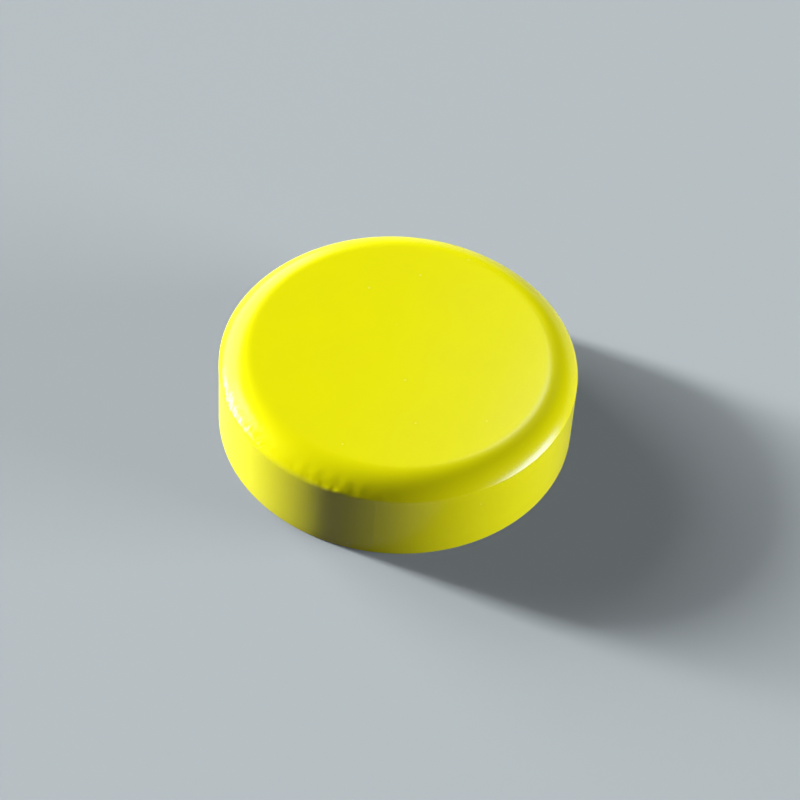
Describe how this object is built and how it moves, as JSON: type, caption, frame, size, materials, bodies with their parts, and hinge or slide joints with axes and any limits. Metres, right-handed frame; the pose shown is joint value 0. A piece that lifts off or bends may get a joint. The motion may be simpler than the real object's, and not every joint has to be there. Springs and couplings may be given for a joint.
{
  "type": "disc magnet",
  "caption": "Flat round magnet in a glossy moulded plastic skin, with a straight wall, a crisp crease and a rounded shoulder up to a flat top.",
  "frame": {"origin": "centre of the flat underside", "axes": "+Z along the disc's axis, from the flat underside towards the rounded face; +X and +Y lie in the underside"},
  "size_m": [0.0164, 0.0162, 0.0044],
  "materials": {
    "skin": "glossy moulded lemon-yellow plastic"
  },
  "bodies": {
    "root": {"disc_magnet": "skin"}
  },
  "joints": []
}
